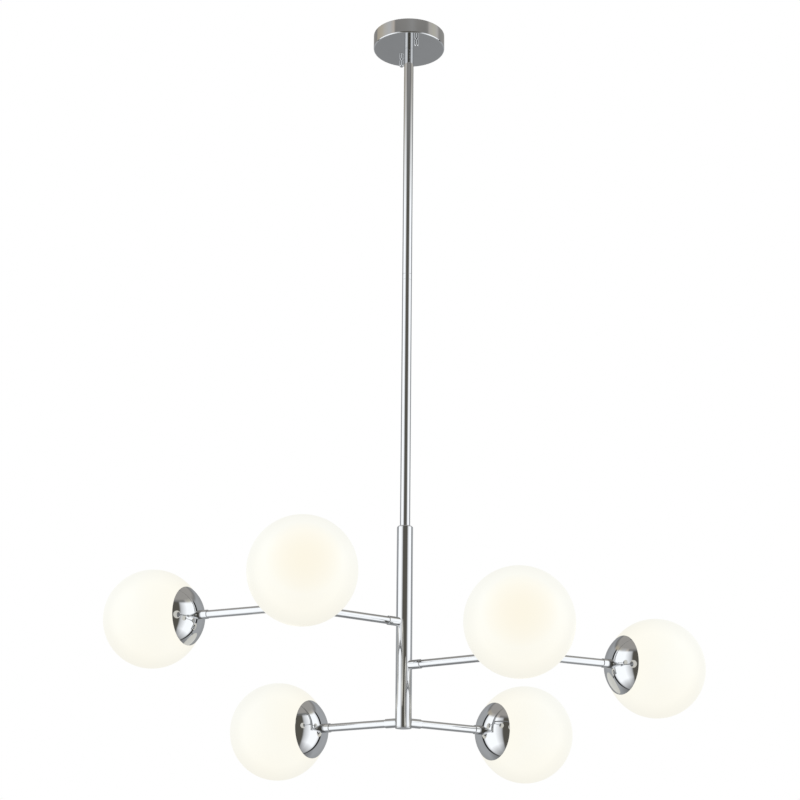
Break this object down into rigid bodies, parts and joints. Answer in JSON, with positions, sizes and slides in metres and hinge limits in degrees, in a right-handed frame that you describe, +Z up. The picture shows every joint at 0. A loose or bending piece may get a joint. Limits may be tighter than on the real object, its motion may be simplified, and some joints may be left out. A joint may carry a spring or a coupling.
{
  "type": "branch chandelier",
  "caption": "Ceiling chandelier with a long jointed stem, a tubular hub and forked arms that carry opal glass globes in chrome cups.",
  "frame": {"origin": "centre of the ceiling screw pattern, on the face that meets the ceiling", "axes": "+Z up into the ceiling, -Y towards the viewer, the lamp hangs towards -Z"},
  "size_m": [0.9172, 0.6258, 1.238],
  "materials": {
    "chrome": "mirror-polished chrome plate",
    "steel": "zinc-plated steel, dull",
    "brass": "turned brass, unlacquered",
    "opal_glass": "glossy opal glass, lit from inside",
    "bulb": "frosted light-emitting capsule",
    "white_plastic": "moulded white plastic, satin",
    "ceramic": "unglazed white steatite",
    "rubber_ring": "translucent silicone rubber",
    "lead": "pale flexible lead sheath",
    "earth_lead": "green and yellow sheath"
  },
  "bodies": {
    "root": {"ceiling_strap": "steel", "canopy_studs": "steel", "canopy": "chrome", "terminal_block": "white_plastic", "terminal_screws": "brass", "earth_lead": "earth_lead", "stem_nipple": "brass", "earth_tag": "brass", "stem_lock_nut": "steel", "upper_rod": "chrome", "rod_coupling": "chrome", "lower_rod": "chrome", "hub_bush": "chrome", "hub_tube": "chrome", "hub_foot": "chrome", "saddle_ferrules": "chrome", "cup_ferrules": "chrome", "arm_nipples": "brass", "cup_nipples": "brass", "arm_nuts": "steel", "left_fork_arm": "chrome", "right_fork_arm": "chrome", "left_fork_drum": "chrome", "right_fork_drum": "chrome", "screw_seats": "white_plastic", "lampholders": "ceramic", "wiring": "lead", "arm_outer_left": "chrome", "arm_front_left": "chrome", "arm_front_right": "chrome", "arm_outer_right": "chrome", "arm_low_left": "chrome", "arm_low_right": "chrome", "cup_outer_left": "chrome", "cup_front_left": "chrome", "cup_front_right": "chrome", "cup_outer_right": "chrome", "cup_low_left": "chrome", "cup_low_right": "chrome"},
    "nut_front": {"cap_nut_front": "chrome"},
    "nut_back": {"cap_nut_back": "chrome"},
    "ring_outer_left": {"gasket_outer_left": "rubber_ring"},
    "glass_outer_left": {"globe_outer_left": "opal_glass"},
    "lamp_outer_left": {"bulb_outer_left": "bulb"},
    "ring_front_left": {"gasket_front_left": "rubber_ring"},
    "glass_front_left": {"globe_front_left": "opal_glass"},
    "lamp_front_left": {"bulb_front_left": "bulb"},
    "ring_front_right": {"gasket_front_right": "rubber_ring"},
    "glass_front_right": {"globe_front_right": "opal_glass"},
    "lamp_front_right": {"bulb_front_right": "bulb"},
    "ring_outer_right": {"gasket_outer_right": "rubber_ring"},
    "glass_outer_right": {"globe_outer_right": "opal_glass"},
    "lamp_outer_right": {"bulb_outer_right": "bulb"},
    "ring_low_left": {"gasket_low_left": "rubber_ring"},
    "glass_low_left": {"globe_low_left": "opal_glass"},
    "lamp_low_left": {"bulb_low_left": "bulb"},
    "ring_low_right": {"gasket_low_right": "rubber_ring"},
    "glass_low_right": {"globe_low_right": "opal_glass"},
    "lamp_low_right": {"bulb_low_right": "bulb"}
  },
  "joints": [
    {"name": "cap_nut_front_turn", "type": "hinge", "parent": "root", "child": "nut_front", "pos_m": [0.01159, -0.03567, -0.032], "axis": [0, 0, -1], "range_deg": [0, 5040]},
    {"name": "cap_nut_back_turn", "type": "hinge", "parent": "root", "child": "nut_back", "pos_m": [-0.01159, 0.03567, -0.032], "axis": [0, 0, -1], "range_deg": [0, 5040]},
    {"name": "globe_outer_left_turn", "type": "hinge", "parent": "root", "child": "ring_outer_left", "pos_m": [-0.3836, -0.00176, -1.011], "axis": [-0.8988, 0.4384, 0], "range_deg": [0, 360]},
    {"name": "globe_outer_left_travel", "type": "slide", "parent": "ring_outer_left", "child": "glass_outer_left", "axis": [-0.8988, 0.4384, 0], "range_m": [0, 0.004]},
    {"name": "bulb_outer_left_pull", "type": "slide", "parent": "root", "child": "lamp_outer_left", "axis": [-0.8988, 0.4384, 0], "range_m": [0, 0.009]},
    {"name": "globe_front_left_turn", "type": "hinge", "parent": "root", "child": "ring_front_left", "pos_m": [-0.14533, -0.355, -1.011], "axis": [0.0698, -0.9976, 0], "range_deg": [0, 360]},
    {"name": "globe_front_left_travel", "type": "slide", "parent": "ring_front_left", "child": "glass_front_left", "axis": [0.0698, -0.9976, 0], "range_m": [0, 0.004]},
    {"name": "bulb_front_left_pull", "type": "slide", "parent": "root", "child": "lamp_front_left", "axis": [0.0698, -0.9976, 0], "range_m": [0, 0.009]},
    {"name": "globe_front_right_turn", "type": "hinge", "parent": "root", "child": "ring_front_right", "pos_m": [0.14533, -0.355, -1.077], "axis": [-0.0698, -0.9976, 0], "range_deg": [0, 360]},
    {"name": "globe_front_right_travel", "type": "slide", "parent": "ring_front_right", "child": "glass_front_right", "axis": [-0.0698, -0.9976, 0], "range_m": [0, 0.004]},
    {"name": "bulb_front_right_pull", "type": "slide", "parent": "root", "child": "lamp_front_right", "axis": [-0.0698, -0.9976, 0], "range_m": [0, 0.009]},
    {"name": "globe_outer_right_turn", "type": "hinge", "parent": "root", "child": "ring_outer_right", "pos_m": [0.3836, -0.00176, -1.077], "axis": [0.8988, 0.4384, 0], "range_deg": [0, 360]},
    {"name": "globe_outer_right_travel", "type": "slide", "parent": "ring_outer_right", "child": "glass_outer_right", "axis": [0.8988, 0.4384, 0], "range_m": [0, 0.004]},
    {"name": "bulb_outer_right_pull", "type": "slide", "parent": "root", "child": "lamp_outer_right", "axis": [0.8988, 0.4384, 0], "range_m": [0, 0.009]},
    {"name": "globe_low_left_turn", "type": "hinge", "parent": "root", "child": "ring_low_left", "pos_m": [-0.19335, 0.12082, -1.163], "axis": [-0.848, 0.5299, 0], "range_deg": [0, 360]},
    {"name": "globe_low_left_travel", "type": "slide", "parent": "ring_low_left", "child": "glass_low_left", "axis": [-0.848, 0.5299, 0], "range_m": [0, 0.004]},
    {"name": "bulb_low_left_pull", "type": "slide", "parent": "root", "child": "lamp_low_left", "axis": [-0.848, 0.5299, 0], "range_m": [0, 0.009]},
    {"name": "globe_low_right_turn", "type": "hinge", "parent": "root", "child": "ring_low_right", "pos_m": [0.19335, 0.12082, -1.163], "axis": [0.848, 0.5299, 0], "range_deg": [0, 360]},
    {"name": "globe_low_right_travel", "type": "slide", "parent": "ring_low_right", "child": "glass_low_right", "axis": [0.848, 0.5299, 0], "range_m": [0, 0.004]},
    {"name": "bulb_low_right_pull", "type": "slide", "parent": "root", "child": "lamp_low_right", "axis": [0.848, 0.5299, 0], "range_m": [0, 0.009]}
  ],
  "couplings": [
    {"joint": "globe_outer_left_travel", "follows": "globe_outer_left_turn", "m_per_rad": 0.0006366},
    {"joint": "globe_front_left_travel", "follows": "globe_front_left_turn", "m_per_rad": 0.0006366},
    {"joint": "globe_front_right_travel", "follows": "globe_front_right_turn", "m_per_rad": 0.0006366},
    {"joint": "globe_outer_right_travel", "follows": "globe_outer_right_turn", "m_per_rad": 0.0006366},
    {"joint": "globe_low_left_travel", "follows": "globe_low_left_turn", "m_per_rad": 0.0006366},
    {"joint": "globe_low_right_travel", "follows": "globe_low_right_turn", "m_per_rad": 0.0006366}
  ]
}
